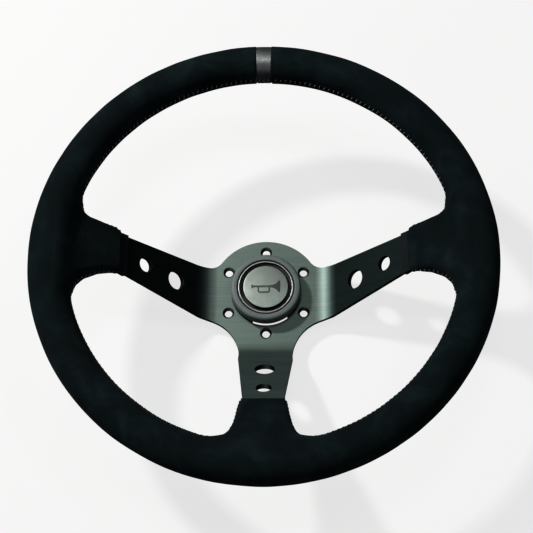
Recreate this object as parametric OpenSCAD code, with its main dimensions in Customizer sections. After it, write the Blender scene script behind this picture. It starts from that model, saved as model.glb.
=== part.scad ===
// Deep-dish sports steering wheel: a bent three-spoke plate, a padded suede rim and a horn push.
// X points right, Y to twelve o'clock and Z along the column towards the driver.
// The origin is the centre of the six-bolt circle on the rear face of the hub plate.

/* [Rim] */
// Outside diameter of the finished rim
wheel_d = 350; // [340:1:360]
// Diameter of the finished rim section
grip_d = 29; // [28:0.5:30]
// Height of the rim's middle plane above the hub plate's rear face
dish = 90; // [86:1:94]
// Thickness of the suede cover
suede_t = 1.2; // [1:0.1:1.4]
// Width of the grey marker band at twelve o'clock
marker_w = 11.6; // [9:0.2:14]

/* [Spoke plate] */
// Thickness of the plate
plate_t = 4; // [3.5:0.1:4.5]
// Radius of the hub disc
hub_r = 44.6; // [43:0.2:46]
// Radius of the centre hole that takes the horn push
centre_hole_r = 28.2; // [27.8:0.1:28.6]
// Distance of each side bend from the wheel's axis
side_bend = 49.5; // [48:0.5:51]
// Distance of the lower bend from the wheel's axis
lower_bend = 47.8; // [47:0.2:49]
// Inside radius of every bend
bend_r = 10; // [8:0.5:12]
// Diameter of the larger lightening hole in each spoke
large_hole_d = 15.5; // [12:0.5:17]
// Diameter of the smaller lightening hole in each spoke
small_hole_d = 12; // [9:0.5:13]

/* [Bolt circle] */
// Pitch circle of the wheel bolts
bolt_pcd = 70; // [68:0.5:72]
// Diameter of each through hole
bolt_hole_d = 6.4; // [5.5:0.1:6.8]
// Diameter at the mouth of each countersink
countersink_d = 9.4; // [9:0.1:10]

/* [Horn push] */
// Distance that the push travels
push_travel = 2; // [1.5:0.1:2.1]
// Radius of the silver disc
disc_r = 18.1; // [17:0.1:18.5]
// Outer radius of the bezel
bezel_r = 28.2; // [27.6:0.1:28.6]
// Outer radius of the housing
housing_r = 25.9; // [25.5:0.1:26]

/* [Hidden] */
$fn = 96;
tiny = 0.01;

// Radii of the rim, measured to the middle of its section
grip_r = grip_d / 2;
rim_r = wheel_d / 2 - grip_r;
glue_gap = 0.3;
foam_r = grip_r - suede_t - glue_gap;

// Flat ring inside the rim, riveted to the front of the spoke ends
core_in_r = rim_r - 7.5;
core_out_r = rim_r + 7.5;
core_t = 6;
core_fit = 0.2;

// Spoke ends: they bend back under the suede and lie flat under the ring
flange_z = dish - 3.5;
flange_u = rim_r - 12.5;
knee_step = 3;
hub_overlap = 5;

// Spoke edges in plan: distance along the spoke and distance across it
top_edge_start = [side_bend, 21.5];
top_edge_end = [109.5, 25.4];
low_edge_start = [side_bend + 0.5, -22.6];
low_edge_end = [114, -3.8];
spoke_end_top = [rim_r + 5, 27];
spoke_end_low = [rim_r + 5, -3.8];
lower_half_start = [50, 21.7];
lower_half_end = [109.5, 14.8];
lower_half_tip = [rim_r + 5, 14.8];
top_fillet_r = 12;
low_fillet_r = 33;

// Lightening holes: distance along the spoke and distance across it
side_holes = [[71, 2.9, large_hole_d], [92.7, 7.4, small_hole_d]];
lower_holes = [[72.2, 0, large_hole_d], [93.1, 0, small_hole_d]];

// Rivets that join each spoke end to the ring
rivet_r = 2.4;
rivet_head_r = 4.2;
rivet_head_h = 1.5;
side_rivet_angles = [1.2, 7];
lower_rivet_angles = [-3, 3];

// Webs: where the trim starts and where the suede starts along each spoke
side_trim_u = 106;
side_suede_u = 110.4;
lower_trim_u = 105.6;
lower_suede_u = 106.8;
trim_t = 1;
trim_tuck = 2.5;
web_pad = 2.2;
side_web_top = [[0, 27.8], [4, 30.2], [13, 31.6], [22, 33], [27, 36], [29.5, 41], [40, 45]];
side_web_low = [[0, -6], [7, -6.4], [16, -9.4], [25, -15.2], [30, -21.4], [32.5, -28], [40, -34]];
lower_web_half = [[0, 17], [13, 19.2], [21, 21], [27, 23.6], [31, 26.8], [34, 33], [40, 42], [46, 42]];
// Where the front and the rear of a web meet the rim: distance inside rim_r, height from the rim's middle
web_front_end = [8.3, 10.6];
web_rear_end = [7.5, -9];
web_run_in = 10;

// Seam along the inside of the rim, turned very slightly to the front
seam_lean = 3;
thread_r = 0.45;
upper_seam = [17, 163];
lower_left_seam = [193.5, 254.5];
lower_right_seam = [285.5, 346.5];

// Heights in the horn push
housing_z = 1.6;
base_z = 7.6;
base_t = 1.6;
base_top = base_z + base_t;
shelf_z = 13.1;
shelf_top = 14.55;
shelf_in_r = 19.3;
ledge_in_r = 20.9;
housing_in_r = 23.9;
base_r = housing_in_r - 0.05;
bezel_z = 7.4;
bezel_top = 17.5;
lip_out_r = 22.9;
lip_top = 17.22;
plunger_r = 18;
plunger_in_r = 15.4;
flange_r = 20.6;
flange_h = 1.15;
plunger_top = 16.6;
plunger_roof = 15;
disc_t = 1.5;
dome = 0.6;
flange_bottom = shelf_z - 0.05 - flange_h;
contact_t = 0.45;
contact_in_r = 13.2;
contact_out_r = 18.4;
fixed_t = flange_bottom - contact_t - push_travel - base_top - 0.05;
spring_r = 8;
spring_wire_r = 0.4;
spring_turns = 3;
boss_r = 6.8;
boss_h = 1;
blade_w = 6.3;
blade_t = 0.8;
blade_x = 15.2;
blade_end_z = -7;
cup_end_z = -9;
cup_r = 19.8;
cup_in_r = 18.4;
base_screw_r = 22.4;
clip_angles = [98, 218, 338];
base_screw_angles = [30, 150, 270];
clip_half_angle = 29;
clip_t = 0.4;
clip_screw_z = 5.6;
clip_shank = 1.9;

function polar(r, a) = [r * cos(a), r * sin(a)];
function arc(c, r, a0, a1, n) = [for (i = [0:n]) c + polar(r, a0 + (a1 - a0) * i / n)];
function reversed(list) = [for (i = [len(list) - 1:-1:0]) list[i]];
function slope(a, b) = (b[1] - a[1]) / (b[0] - a[0]);
function edge_at(a, b, u) = a[1] + slope(a, b) * (u - a[0]);

// Height of the plate's front face on the 45 degree run
function front_z(u, bend) = plate_t + u - bend;
// Distance at which the plate starts to bend
function bend_start(bend) = bend - bend_r * tan(22.5);

// Unit vector square to a line at angle a, on its upper side
function above(a) = [-sin(a), cos(a)];

// Points round a bend of the plate, at a depth below its front face.
// The sharp corner of the front face is v, and the slope changes from a0 to a1.
function bend_points(v, a0, a1, depth) =
    let (
        side = a1 > a0 ? -1 : 1,
        r = side < 0 ? bend_r : bend_r + plate_t,
        start = v - polar(r * tan(abs(a1 - a0) / 2), a0),
        c = start - side * r * above(a0)
    )
    [for (i = [0:12]) let (a = a0 + (a1 - a0) * i / 12) c + (side * r - depth) * above(a)];

// Centre of the fillet that touches the hub disc and a line of slope m through point p
function top_fillet_k(p, m) = p[1] - m * p[0] + top_fillet_r * sqrt(1 + m * m);
function top_fillet_x(m, k, d) = (sqrt(m * m * k * k - (1 + m * m) * (k * k - d * d)) - m * k) / (1 + m * m);
top_m = slope(top_edge_start, top_edge_end);
top_k = top_fillet_k(top_edge_start, top_m);
top_c = [
    top_fillet_x(top_m, top_k, hub_r + top_fillet_r),
    top_k + top_m * top_fillet_x(top_m, top_k, hub_r + top_fillet_r)
];
top_touch = atan2(top_c[1], top_c[0]);

// Centre of the fillet that touches a side spoke's lower edge and the lower spoke's edge
low_m = slope(low_edge_start, low_edge_end);
half_m = slope(lower_half_start, lower_half_end);
low_k = low_edge_start[1] - low_m * low_edge_start[0] - low_fillet_r * sqrt(1 + low_m * low_m);
half_k = lower_half_start[1] - half_m * lower_half_start[0] + low_fillet_r * sqrt(1 + half_m * half_m);
low_x = (half_k - half_m * low_k) / (1 + half_m * low_m);
low_c = [low_x, low_k + low_m * low_x];

// Outline of the right half of the spoke plate, from twelve o'clock round to six o'clock
half_outline = concat(
    arc([0, 0], hub_r, 90, top_touch, 32),
    arc(top_c, top_fillet_r, 180 + top_touch, 270 + atan(top_m), 16),
    [top_edge_end, spoke_end_top, spoke_end_low, low_edge_end],
    arc(low_c, low_fillet_r, 90 + atan(low_m), 180 - atan(half_m), 24),
    [[lower_half_end[1], -lower_half_end[0]], [lower_half_tip[1], -lower_half_tip[0]]]
);

module plate_outline() {
    polygon(concat(half_outline, [for (p = reversed(half_outline)) [-p[0], p[1]]]));
}

// Side view of one spoke: hub, bend, 45 degree run, knee under the suede and flat end
module spoke_profile(bend, suede_u) {
    knee = [suede_u + knee_step, front_z(suede_u + knee_step, bend)];
    flange = [flange_u, flange_z];
    climb = atan(slope(knee, flange));
    start_u = bend_start(bend) - hub_overlap;
    end_u = rim_r + 6;
    function face(depth) = concat(
        [[start_u, plate_t - depth]],
        bend_points([bend, plate_t], 0, 45, depth),
        bend_points(knee, 45, climb, depth),
        bend_points(flange, climb, 0, depth),
        [[end_u, flange_z - depth]]
    );
    polygon(concat(face(0), reversed(face(plate_t))));
}

// Turns a side view into a solid that lies across the right-hand spoke
module across(width) {
    rotate([90, 0, 0])
        linear_extrude(height = width, center = true)
            children();
}

module on_right() { children(); }
module on_left() { mirror([1, 0, 0]) children(); }
module on_lower() { rotate([0, 0, -90]) children(); }

// Puts a vertical tool square to the sloping face, at a hole's place
module at_spoke_face(hole, bend) {
    translate([hole[0], hole[1], front_z(hole[0], bend)])
        rotate([0, -45, 0])
            children();
}

module lightening_holes(holes, bend) {
    for (hole = holes)
        at_spoke_face(hole, bend)
            cylinder(h = 4 * plate_t, d = hole[2], center = true);
}

module bolt_hole() {
    sink_h = (countersink_d - bolt_hole_d) / 2;
    translate([0, 0, -1])
        cylinder(h = plate_t + 2, d = bolt_hole_d);
    translate([0, 0, plate_t - sink_h])
        cylinder(h = sink_h + tiny, d1 = bolt_hole_d, d2 = countersink_d + 2 * tiny);
}

// Rivets of one spoke, for the right-hand position; grow widens them into holes
module rivet_set(angles, heads) {
    for (a = angles)
        rotate([0, 0, a])
            translate([rim_r, 0, 0]) {
                translate([0, 0, flange_z - plate_t])
                    cylinder(h = plate_t + core_t, r = rivet_r);
                if (heads) {
                    translate([0, 0, flange_z + core_t])
                        cylinder(h = rivet_head_h, r = rivet_head_r);
                    translate([0, 0, flange_z - plate_t - rivet_head_h])
                        cylinder(h = rivet_head_h, r = rivet_head_r);
                }
            }
}

module all_rivets(heads) {
    on_right() rivet_set(side_rivet_angles, heads);
    on_left() rivet_set(side_rivet_angles, heads);
    on_lower() rivet_set(lower_rivet_angles, heads);
}

module plate_blank() {
    hub_x = bend_start(side_bend) - hub_overlap / 2;
    hub_y = bend_start(lower_bend) - hub_overlap / 2;
    linear_extrude(height = plate_t)
        intersection() {
            plate_outline();
            translate([-hub_x, -hub_y])
                square([2 * hub_x, hub_y + hub_r + 1]);
        }
    intersection() {
        linear_extrude(height = dish)
            plate_outline();
        union() {
            on_right() across(120) spoke_profile(side_bend, side_suede_u);
            on_left() across(120) spoke_profile(side_bend, side_suede_u);
            on_lower() across(60) spoke_profile(lower_bend, lower_suede_u);
        }
    }
}

// Bent aluminium plate: hub disc and three spokes in one piece
module spoke_plate() {
    color("dimgray")
        difference() {
            plate_blank();
            translate([0, 0, -1])
                cylinder(h = plate_t + 2, r = centre_hole_r);
            for (i = [0:5])
                rotate([0, 0, 30 + 60 * i])
                    translate([bolt_pcd / 2, 0, 0])
                        bolt_hole();
            on_right() lightening_holes(side_holes, side_bend);
            on_left() lightening_holes(side_holes, side_bend);
            on_lower() lightening_holes(lower_holes, lower_bend);
            all_rivets(false);
        }
}

module ring(r_in, r_out, z, h) {
    translate([0, 0, z])
        difference() {
            cylinder(h = h, r = r_out);
            translate([0, 0, -1])
                cylinder(h = h + 2, r = r_in);
        }
}

// Flat aluminium ring that carries the padding
module rim_core() {
    color("silver")
        difference() {
            ring(core_in_r, core_out_r, flange_z, core_t);
            all_rivets(false);
        }
}

module spoke_rivets() {
    color("gainsboro")
        all_rivets(true);
}

// Side view of a padded web: it leaves the plate at start_u and runs into the rim.
// The pad is the padding's thickness on each face of the plate.
module web_profile(start_u, bend, pad) {
    step = pad / sqrt(2);
    thinner = (web_pad - pad) * sqrt(2);
    front = [start_u, front_z(start_u, bend)];
    rear = front + [plate_t, -plate_t] / sqrt(2);
    knee = [start_u + knee_step + 6, front_z(start_u + knee_step, bend) - 5.2];
    polygon([
        front + [-step, step],
        [rim_r - web_front_end[0], dish + web_front_end[1] - thinner],
        [rim_r - web_rear_end[0], dish + web_rear_end[1] + thinner],
        knee + [0, thinner],
        rear + [step, -step]
    ]);
}

module side_web_plan(inset) {
    top = [for (p = side_web_top) [side_suede_u + p[0], p[1] - inset]];
    low = [for (p = side_web_low) [side_suede_u + p[0], p[1] + inset]];
    start_u = side_suede_u - web_run_in;
    polygon(concat([[start_u, top[0][1]]], top, reversed(low), [[start_u, low[0][1]]]));
}

module lower_web_plan(inset) {
    half = [for (p = lower_web_half) [lower_suede_u + p[0], p[1] - inset]];
    other = [for (p = half) [p[0], -p[1]]];
    start_u = lower_suede_u - web_run_in;
    polygon(concat([[start_u, half[0][1]]], half, reversed(other), [[start_u, -half[0][1]]]));
}

module side_web(pad, inset) {
    intersection() {
        across(120) web_profile(side_suede_u, side_bend, pad);
        linear_extrude(height = 2 * dish) side_web_plan(inset);
    }
}

module lower_web(pad, inset) {
    intersection() {
        across(120) web_profile(lower_suede_u, lower_bend, pad);
        linear_extrude(height = 2 * dish) lower_web_plan(inset);
    }
}

module rim_torus(section_r) {
    translate([0, 0, dish])
        rotate_extrude()
            translate([rim_r, 0])
                circle(r = section_r);
}

module padded_form(section_r, pad, inset) {
    rim_torus(section_r);
    on_right() side_web(pad, inset);
    on_left() side_web(pad, inset);
    on_lower() lower_web(pad, inset);
}

module foam_form() {
    padded_form(foam_r, web_pad - suede_t - glue_gap, suede_t + glue_gap);
}

// Polyurethane padding moulded round the ring and the ends of the spokes
module rim_foam() {
    color("black")
        difference() {
            foam_form();
            ring(core_in_r - core_fit, core_out_r + core_fit, flange_z, core_t + core_fit);
            plate_blank();
            all_rivets(true);
            all_cuffs();
        }
}

// Everything behind the middle of the plate on one web
module facing_zone(bend, suede_u) {
    knee_u = suede_u + knee_step;
    half_t = plate_t / 2;
    across(130)
        polygon([
            [90, front_z(90, bend) - half_t * sqrt(2)],
            [knee_u, front_z(knee_u, bend) - half_t * 1.2],
            [flange_u, flange_z - half_t],
            [rim_r, flange_z - half_t],
            [rim_r, 40],
            [90, 20]
        ]);
}

marker_half_angle = asin(marker_w / 2 / rim_r);
cover_gap_angle = marker_half_angle + 0.25;

// Suede wrap round the rim, open at twelve o'clock and where the webs join it
module rim_cover() {
    color("black")
        difference() {
            translate([0, 0, dish])
                rotate([0, 0, 90 + cover_gap_angle])
                    rotate_extrude(angle = 360 - 2 * cover_gap_angle)
                        translate([rim_r, 0])
                            difference() {
                                circle(r = grip_r);
                                circle(r = grip_r - suede_t);
                            }
            on_right() side_web(web_pad, 0);
            on_left() side_web(web_pad, 0);
            on_lower() lower_web(web_pad, 0);
        }
}

// Room inside the suede for the padding, the plate and the trim
module under_suede() {
    padded_form(grip_r - suede_t, web_pad - suede_t, suede_t);
    plate_blank();
    all_cuffs();
}

module side_wrap() {
    difference() {
        side_web(web_pad, 0);
        facing_zone(side_bend, side_suede_u);
    }
}

module side_facing() {
    intersection() {
        side_web(web_pad, 0);
        facing_zone(side_bend, side_suede_u);
    }
}

module lower_wrap() {
    difference() {
        lower_web(web_pad, 0);
        facing_zone(lower_bend, lower_suede_u);
    }
}

module lower_facing() {
    intersection() {
        lower_web(web_pad, 0);
        facing_zone(lower_bend, lower_suede_u);
    }
}

// Leaves only the suede's own thickness of a web's outer form
module suede_skin() {
    color("black")
        difference() {
            children();
            under_suede();
        }
}

// Suede over the front and the edges of each web
module web_wrap_left() { suede_skin() on_left() side_wrap(); }
module web_wrap_right() { suede_skin() on_right() side_wrap(); }
module web_wrap_lower() { suede_skin() on_lower() lower_wrap(); }

// Suede over the back of each web
module web_facing_left() { suede_skin() on_left() side_facing(); }
module web_facing_right() { suede_skin() on_right() side_facing(); }
module web_facing_lower() { suede_skin() on_lower() lower_facing(); }

// Grey band at twelve o'clock, a little below the suede on each side of it
module marker_band() {
    color("darkgray")
        rotate([0, 0, 90 - marker_half_angle])
            translate([0, 0, dish])
                rotate_extrude(angle = 2 * marker_half_angle)
                    translate([rim_r, 0])
                        difference() {
                            circle(r = grip_r - 0.4);
                            circle(r = grip_r - suede_t);
                        }
}

// Thin sleeve round a spoke where the suede ends
module cuff(trim_u, suede_u, bend) {
    step = trim_t / sqrt(2);
    thick = plate_t / sqrt(2);
    end_u = suede_u + trim_tuck;
    front = [for (u = [trim_u, end_u]) [u, front_z(u, bend)]];
    across(120)
        polygon([
            front[0] + [-step, step],
            front[1] + [-step, step],
            front[1] + [thick + step, -thick - step],
            front[0] + [thick + step, -thick - step]
        ]);
}

module side_cuff() {
    intersection() {
        cuff(side_trim_u, side_suede_u, side_bend);
        linear_extrude(height = dish)
            polygon([
                [95, edge_at(top_edge_start, top_edge_end, 95) + trim_t],
                [125, edge_at(top_edge_start, top_edge_end, 125) + trim_t],
                [125, edge_at(low_edge_start, low_edge_end, 125) - trim_t],
                [95, edge_at(low_edge_start, low_edge_end, 95) - trim_t]
            ]);
    }
}

module lower_cuff() {
    intersection() {
        cuff(lower_trim_u, lower_suede_u, lower_bend);
        linear_extrude(height = dish)
            polygon([
                [95, edge_at(lower_half_start, lower_half_end, 95) + trim_t],
                [125, edge_at(lower_half_start, lower_half_end, 125) + trim_t],
                [125, -edge_at(lower_half_start, lower_half_end, 125) - trim_t],
                [95, -edge_at(lower_half_start, lower_half_end, 95) - trim_t]
            ]);
    }
}

module all_cuffs() {
    on_left() side_cuff();
    on_right() side_cuff();
    on_lower() lower_cuff();
}

module spoke_cuff_left() {
    color("black")
        difference() {
            on_left() side_cuff();
            plate_blank();
        }
}

module spoke_cuff_right() {
    color("black")
        difference() {
            on_right() side_cuff();
            plate_blank();
        }
}

module spoke_cuff_lower() {
    color("black")
        difference() {
            on_lower() lower_cuff();
            plate_blank();
        }
}

// Thread of the seam between two angles round the inside of the rim
module seam_thread(angles) {
    r = grip_r + thread_r;
    color("gray")
        translate([0, 0, dish + r * sin(seam_lean)])
            rotate([0, 0, angles[0]])
                rotate_extrude(angle = angles[1] - angles[0])
                    translate([rim_r - r * cos(seam_lean), 0])
                        circle(r = thread_r);
}

module seam_thread_upper() { seam_thread(upper_seam); }
module seam_thread_lower_left() { seam_thread(lower_left_seam); }
module seam_thread_lower_right() { seam_thread(lower_right_seam); }

// Moulded body of the horn push, open at the back
module horn_housing() {
    color("black")
        difference() {
            rotate_extrude()
                polygon([
                    [housing_in_r, housing_z], [housing_r, housing_z],
                    [housing_r, shelf_top], [shelf_in_r, shelf_top],
                    [shelf_in_r, shelf_z], [ledge_in_r, shelf_z],
                    [ledge_in_r, base_top], [housing_in_r, base_top]
                ]);
            for (a = base_screw_angles)
                rotate([0, 0, a])
                    translate([base_screw_r, 0, base_top - 1])
                        cylinder(h = 4, r = 0.8);
            for (a = clip_angles)
                rotate([0, 0, a])
                    translate([housing_in_r + 0.4, 0, clip_screw_z])
                        rotate([0, 90, 0])
                            cylinder(h = 4, r = 0.9);
        }
}

// Trim ring round the push, with a wide round on its outer edge
module horn_bezel() {
    fit_r = housing_r + 0.05;
    outer_round = 2.4;
    inner_round = 0.9;
    inner_r = lip_out_r + 0.15;
    color("slategray")
        rotate_extrude()
            polygon(concat(
                [[fit_r, shelf_top + 0.05], [fit_r, bezel_z]],
                [[bezel_r - 0.7, bezel_z], [bezel_r, bezel_z + 0.8]],
                arc([bezel_r - outer_round, bezel_top - outer_round], outer_round, 0, 90, 12),
                arc([inner_r + inner_round, bezel_top - inner_round], inner_round, 90, 180, 10),
                [[inner_r, shelf_top + 0.05]]
            ));
}

// Glossy rubber ring between the bezel and the moving disc
module horn_lip() {
    half_w = 0.92;
    color("black")
        rotate_extrude()
            polygon(concat(
                [[lip_out_r - 2 * half_w, shelf_top + 0.05], [lip_out_r, shelf_top + 0.05]],
                arc([lip_out_r - half_w, lip_top - half_w], half_w, 0, 180, 20)
            ));
}

// Plunger that carries the disc and the moving contact
module horn_plunger() {
    color("black")
        difference() {
            union() {
                rotate_extrude()
                    polygon([
                        [0, plunger_roof], [plunger_in_r, plunger_roof],
                        [plunger_in_r, flange_bottom], [flange_r, flange_bottom],
                        [flange_r, flange_bottom + flange_h], [plunger_r, flange_bottom + flange_h],
                        [plunger_r, plunger_top], [0, plunger_top]
                    ]);
                translate([0, 0, plunger_roof - boss_h])
                    cylinder(h = boss_h + tiny, r = boss_r);
            }
            for (a = base_screw_angles)
                rotate([0, 0, a])
                    translate([16.7, 0, flange_bottom - 1])
                        cylinder(h = 3.5, r = 0.6);
        }
}

// Raised horn sign on the disc: a plain bugle seen from the side
module horn_sign() {
    upper = [[-11.5, 1.6], [-10.4, 1.6], [-10, 0.75], [3, 0.75], [6, 1.3], [8.5, 2.6], [10.5, 5], [11.3, 5]];
    front = [[11.7, 2.5], [11.8, 0], [11.7, -2.5]];
    lower = [[11.3, -5], [10.5, -5], [8.5, -2.6], [6, -1.3], [3.5, -0.8]];
    loop = [[3.5, -4.2], [2.1, -5.6], [-5.1, -5.6], [-6.5, -4.2], [-6.5, -0.75]];
    mouthpiece = [[-10, -0.75], [-10.4, -1.6], [-11.5, -1.6]];
    difference() {
        polygon(concat(upper, front, lower, loop, mouthpiece));
        polygon([[-5.3, -0.85], [2.3, -0.85], [2.3, -3.9], [1.8, -4.4], [-4.8, -4.4], [-5.3, -3.9]]);
    }
}

// Satin silver disc, slightly domed, with a raised horn sign
module horn_disc() {
    edge_r = 0.5;
    edge_top = plunger_top + disc_t - dome;
    dome_r = (pow(disc_r - edge_r, 2) + dome * dome) / (2 * dome);
    dome_half = asin((disc_r - edge_r) / dome_r);
    sign_base = plunger_top + 0.5;
    sign_top = plunger_top + disc_t + 0.2;
    color("silver") {
        rotate_extrude()
            polygon(concat(
                [[0, plunger_top], [disc_r, plunger_top]],
                arc([disc_r - edge_r, edge_top - edge_r], edge_r, 0, 90 - dome_half, 8),
                arc([0, edge_top + dome - dome_r], dome_r, 90 - dome_half, 90, 8)
            ));
        translate([0, 0, sign_base])
            linear_extrude(height = sign_top - sign_base)
                horn_sign();
    }
}

// Ring of points round a helix at one turn angle
function coil_ring(a, h) = [
    for (j = [0:7])
        let (r = spring_r + spring_wire_r * cos(45 * j))
        [r * cos(a), r * sin(a), h + spring_wire_r * sin(45 * j)]
];

module return_spring() {
    steps = 24 * spring_turns;
    low = base_top + 0.02 + spring_wire_r;
    rise = plunger_roof - 0.02 - spring_wire_r - low;
    rings = [for (i = [0:steps]) coil_ring(15 * i, low + rise * i / steps)];
    points = [for (ring_points = rings) for (p = ring_points) p];
    sides = [
        for (i = [0:steps - 1]) for (j = [0:7])
            let (k = (j + 1) % 8)
            [8 * i + j, 8 * i + 8 + j, 8 * i + 8 + k, 8 * i + k]
    ];
    color("silver")
        polyhedron(
            points = points,
            faces = concat(
                [[for (j = [0:7]) j]],
                sides,
                [[for (j = [7:-1:0]) 8 * steps + j]]
            ),
            convexity = 4
        );
}

// Brass ring that bridges the two fixed contacts when the push is down
module moving_contact() {
    color("gold")
        difference() {
            ring(contact_in_r, contact_out_r, flange_bottom - contact_t, contact_t);
            contact_rivets();
        }
}

module contact_rivets() {
    color("goldenrod")
        for (a = base_screw_angles)
            rotate([0, 0, a])
                translate([16.7, 0, flange_bottom - contact_t]) {
                    cylinder(h = contact_t, r1 = 1.05, r2 = 0.6);
                    translate([0, 0, contact_t - tiny])
                        cylinder(h = 2.4, r = 0.6);
                }
}

// Half ring on the base with a flat blade through it for the horn lead
module fixed_contact() {
    translate([0, 0, base_top])
        rotate([0, 0, -70])
            rotate_extrude(angle = 140)
                translate([14, 0])
                    square([4, fixed_t]);
    translate([blade_x, -blade_w / 2, blade_end_z])
        cube([blade_t, blade_w, base_top + tiny - blade_end_z]);
}

module fixed_contact_left() {
    color("gold")
        on_left() fixed_contact();
}

module fixed_contact_right() {
    color("gold")
        on_right() fixed_contact();
}

// Insulating disc that closes the housing and seats the spring, with a cup round the two blades.
// The cup reaches behind the hub into the steering boss, and the wheel rests on it when it is put down.
module contact_base() {
    slot_fit = 0.05;
    color("saddlebrown")
        difference() {
            union() {
                translate([0, 0, base_z])
                    cylinder(h = base_t, r = base_r);
                translate([0, 0, base_top - tiny])
                    cylinder(h = boss_h + tiny, r = boss_r);
                ring(cup_in_r, cup_r, cup_end_z, base_z + tiny - cup_end_z);
            }
            for (side = [0, 1])
                mirror([side, 0, 0])
                    translate([blade_x - slot_fit, -blade_w / 2 - slot_fit, base_z - 1])
                        cube([blade_t + 2 * slot_fit, blade_w + 2 * slot_fit, base_t + 2]);
            for (a = base_screw_angles)
                rotate([0, 0, a])
                    translate([base_screw_r, 0, base_z - 1])
                        cylinder(h = base_t + 2, r = 0.85);
        }
}

module slotted_head(r, h, slot_w) {
    difference() {
        cylinder(h = h, r = r);
        translate([0, 0, h])
            cube([2 * r + 1, slot_w, h], center = true);
    }
}

module base_screws() {
    color("silver")
        for (a = base_screw_angles)
            rotate([0, 0, a])
                translate([base_screw_r, 0, base_z]) {
                    rotate([180, 0, 0])
                        slotted_head(1.4, 0.7, 0.4);
                    translate([0, 0, -tiny])
                        cylinder(h = base_t + 2.6, r = 0.8);
                }
}

// Sprung leaves that grip the wall of the hub's centre hole
module clip_leaf() {
    start_r = housing_r + 0.05;
    grip_at = centre_hole_r - 0.05;
    difference() {
        rotate([0, 0, -clip_half_angle])
            rotate_extrude(angle = 2 * clip_half_angle)
                polygon([
                    [start_r, 7.2], [start_r, 3.6],
                    [grip_at - clip_t, 2.4], [grip_at - clip_t, 1.4], [26.8, 0.4],
                    [26.8 + clip_t, 0.4], [grip_at, 1.3], [grip_at, 2.5],
                    [start_r + clip_t, 3.8], [start_r + clip_t, 7.2]
                ]);
        translate([housing_r - 1, 0, clip_screw_z])
            rotate([0, 90, 0])
                cylinder(h = 3, r = 0.95);
    }
}

module retaining_clips() {
    color("dimgray")
        for (a = clip_angles)
            rotate([0, 0, a])
                clip_leaf();
}

module clip_screws() {
    color("silver")
        for (a = clip_angles)
            rotate([0, 0, a])
                translate([housing_r + 0.05 + clip_t + 0.05, 0, clip_screw_z])
                    rotate([0, 90, 0]) {
                        slotted_head(1.5, 0.6, 0.4);
                        translate([0, 0, -clip_shank])
                            cylinder(h = clip_shank + tiny, r = 0.9);
                    }
}

spoke_plate();
rim_core();
spoke_rivets();
rim_foam();
rim_cover();
web_wrap_left();
web_wrap_right();
web_wrap_lower();
web_facing_left();
web_facing_right();
web_facing_lower();
marker_band();
spoke_cuff_left();
spoke_cuff_right();
spoke_cuff_lower();
seam_thread_upper();
seam_thread_lower_left();
seam_thread_lower_right();
horn_housing();
horn_bezel();
horn_lip();
horn_plunger();
horn_disc();
return_spring();
moving_contact();
contact_rivets();
fixed_contact_left();
fixed_contact_right();
contact_base();
base_screws();
retaining_clips();
clip_screws();
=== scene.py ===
import math

import bmesh
import bpy
import numpy as np
from mathutils import Matrix, Vector


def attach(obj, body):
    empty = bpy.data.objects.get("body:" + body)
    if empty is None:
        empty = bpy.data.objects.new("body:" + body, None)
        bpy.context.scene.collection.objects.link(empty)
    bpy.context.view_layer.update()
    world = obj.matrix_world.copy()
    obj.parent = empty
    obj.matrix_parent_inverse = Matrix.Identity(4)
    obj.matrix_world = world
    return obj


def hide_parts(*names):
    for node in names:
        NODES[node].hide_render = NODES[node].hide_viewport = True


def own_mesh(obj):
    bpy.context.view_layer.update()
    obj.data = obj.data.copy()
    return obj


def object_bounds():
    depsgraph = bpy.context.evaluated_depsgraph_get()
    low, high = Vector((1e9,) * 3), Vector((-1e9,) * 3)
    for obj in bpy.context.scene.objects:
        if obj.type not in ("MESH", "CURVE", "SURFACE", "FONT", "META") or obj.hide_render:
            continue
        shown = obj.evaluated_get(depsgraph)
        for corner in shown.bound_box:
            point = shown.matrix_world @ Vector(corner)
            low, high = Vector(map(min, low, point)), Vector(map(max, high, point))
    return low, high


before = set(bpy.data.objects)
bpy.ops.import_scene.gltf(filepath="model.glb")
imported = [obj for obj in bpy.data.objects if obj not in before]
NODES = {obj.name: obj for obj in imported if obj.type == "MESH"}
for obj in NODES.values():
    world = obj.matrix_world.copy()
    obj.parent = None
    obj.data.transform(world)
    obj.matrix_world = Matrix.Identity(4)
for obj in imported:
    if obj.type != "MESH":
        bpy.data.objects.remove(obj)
CAD_BOX = [list(v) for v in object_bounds()]
MM = 0.001

# ---------------------------------------------------------------- sizes shared with the CAD
RIM_R, GRIP_R, DISH = 160.5, 14.5, 90.0
PLATE_T, PAD = 4.0, 2.2
SIDE = {
    "bend": 49.5,
    "suede": 110.4,
    "top": [(0, 27.8), (4, 30.2), (13, 31.6), (22, 33), (27, 36), (29.5, 41), (40, 45)],
    "low": [(0, -6), (7, -6.4), (16, -9.4), (25, -15.2), (30, -21.4), (32.5, -28), (40, -34)],
}
LOWER = {
    "bend": 47.8,
    "suede": 106.8,
    "top": [(0, 17), (13, 19.2), (21, 21), (27, 23.6), (31, 26.8), (34, 33), (40, 42)],
    "low": [(0, -17), (13, -19.2), (21, -21), (27, -23.6), (31, -26.8), (34, -33), (40, -42)],
}
MARK_HALF = 5.8  # half width of the marker band
SEAM_LEAN = math.radians(3)  # how far the rim's seam is turned to the front
PITCH = 3.9  # from stitch to stitch
WEB_ROUND, CUFF_ROUND = 3.4, 1.1  # rounding of a web's edges and of its end at the cuff
WEB_BLEND = 9.0  # how widely a web runs into the rim


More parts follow.
